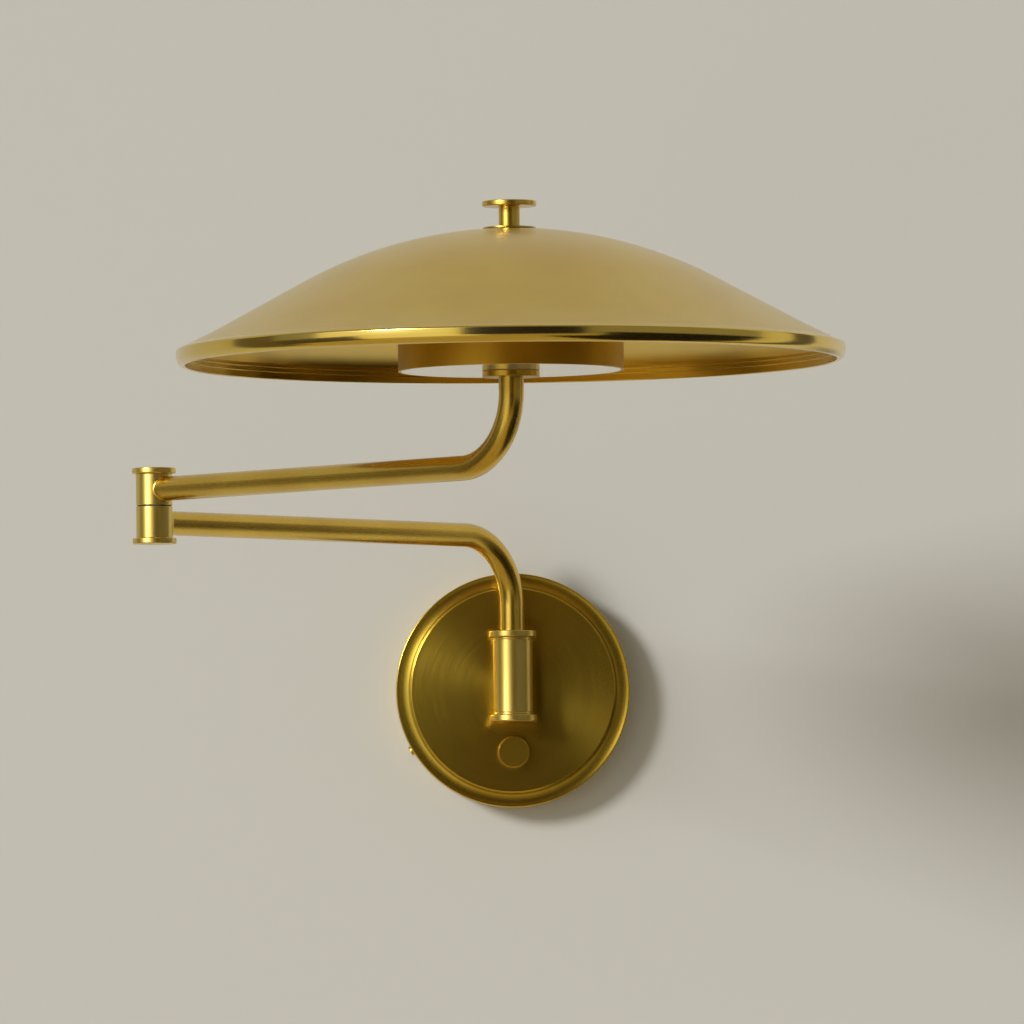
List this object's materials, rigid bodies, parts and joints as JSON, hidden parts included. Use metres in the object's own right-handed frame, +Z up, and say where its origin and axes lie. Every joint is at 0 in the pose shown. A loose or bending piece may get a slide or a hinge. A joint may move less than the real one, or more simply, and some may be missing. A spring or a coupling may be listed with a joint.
{
  "type": "swing-arm wall light",
  "caption": "Brass swing-arm wall light: shallow domed shade over a round opal lamp drum, folding tube arms on an elbow, round wall canopy with a dimmer knob.",
  "frame": {"origin": "centre of the round canopy, on the wall plane", "axes": "+Z up, +Y into the wall, +X to the right of someone facing the wall"},
  "size_m": [0.3673, 0.6105, 0.2965],
  "materials": {
    "satin_brass": "satin, fine brushed",
    "polished_brass": "polished",
    "bearing_bronze": "machined",
    "zinc_steel": "zinc plated",
    "earth_green": "green coated",
    "dark_nylon": "moulded",
    "pale_nylon": "moulded",
    "lead_jacket": "extruded",
    "opal_acrylic": "opal, glossy",
    "heat_aluminium": "milled",
    "board_white": "white solder mask",
    "chip_yellow": "phosphor"
  },
  "bodies": {
    "wall_mount": {"mounting_plate": "zinc_steel", "canopy": "satin_brass", "canopy_side_screws": "satin_brass", "barrel_nipple": "satin_brass", "nipple_spacer": "satin_brass", "nipple_washer": "zinc_steel", "nipple_nut": "zinc_steel", "wall_barrel": "satin_brass", "barrel_bottom_cap": "satin_brass", "barrel_top_ring": "satin_brass", "lower_pivot_bush": "bearing_bronze", "upper_pivot_bush": "bearing_bronze", "dimmer_body": "dark_nylon", "dimmer_nut": "zinc_steel", "lamp_driver": "pale_nylon", "driver_screws": "zinc_steel", "terminal_block": "pale_nylon", "earth_screw": "earth_green"},
    "knob": {"dimmer_knob": "satin_brass", "dimmer_shaft": "zinc_steel", "knob_grub_screw": "satin_brass"},
    "lower_arm": {"lower_arm_tube": "satin_brass", "lower_arm_grommet": "dark_nylon", "lower_arm_lead": "lead_jacket", "spigot_thrust_ring": "satin_brass", "elbow_lower_barrel": "satin_brass", "elbow_lower_cap": "satin_brass", "elbow_friction_washer": "dark_nylon", "elbow_stud": "satin_brass", "elbow_washer": "zinc_steel", "elbow_disc_spring": "zinc_steel", "elbow_nut": "zinc_steel"},
    "upper_arm": {"elbow_upper_barrel": "satin_brass", "elbow_upper_cap": "satin_brass", "elbow_bush": "bearing_bronze", "upper_arm_tube": "satin_brass", "upper_arm_lead": "lead_jacket", "seat_collar": "satin_brass", "diffuser": "opal_acrylic", "lamp_drum": "satin_brass", "heat_plate": "heat_aluminium", "lamp_board": "board_white", "lamp_chips": "chip_yellow", "board_screws": "zinc_steel", "drum_post": "zinc_steel", "drum_nut": "zinc_steel", "shade_post": "zinc_steel", "shade": "satin_brass", "shade_rim": "polished_brass", "finial_foot": "satin_brass", "finial": "satin_brass", "head_nipple": "satin_brass"}
  },
  "joints": [
    {"name": "wall_swing", "type": "hinge", "parent": "wall_mount", "child": "lower_arm", "pos_m": [0, -0.038, 0.03], "axis": [0, 0, 1], "range_deg": [-42, 70]},
    {"name": "elbow_swing", "type": "hinge", "parent": "lower_arm", "child": "upper_arm", "pos_m": [-0.18685, -0.23978, 0.09115], "axis": [0, 0, -1], "range_deg": [-60, 147]},
    {"name": "dimmer_turn", "type": "hinge", "parent": "wall_mount", "child": "knob", "pos_m": [0, -0.026, -0.0338], "axis": [0, 1, 0], "range_deg": [0, 300]}
  ]
}
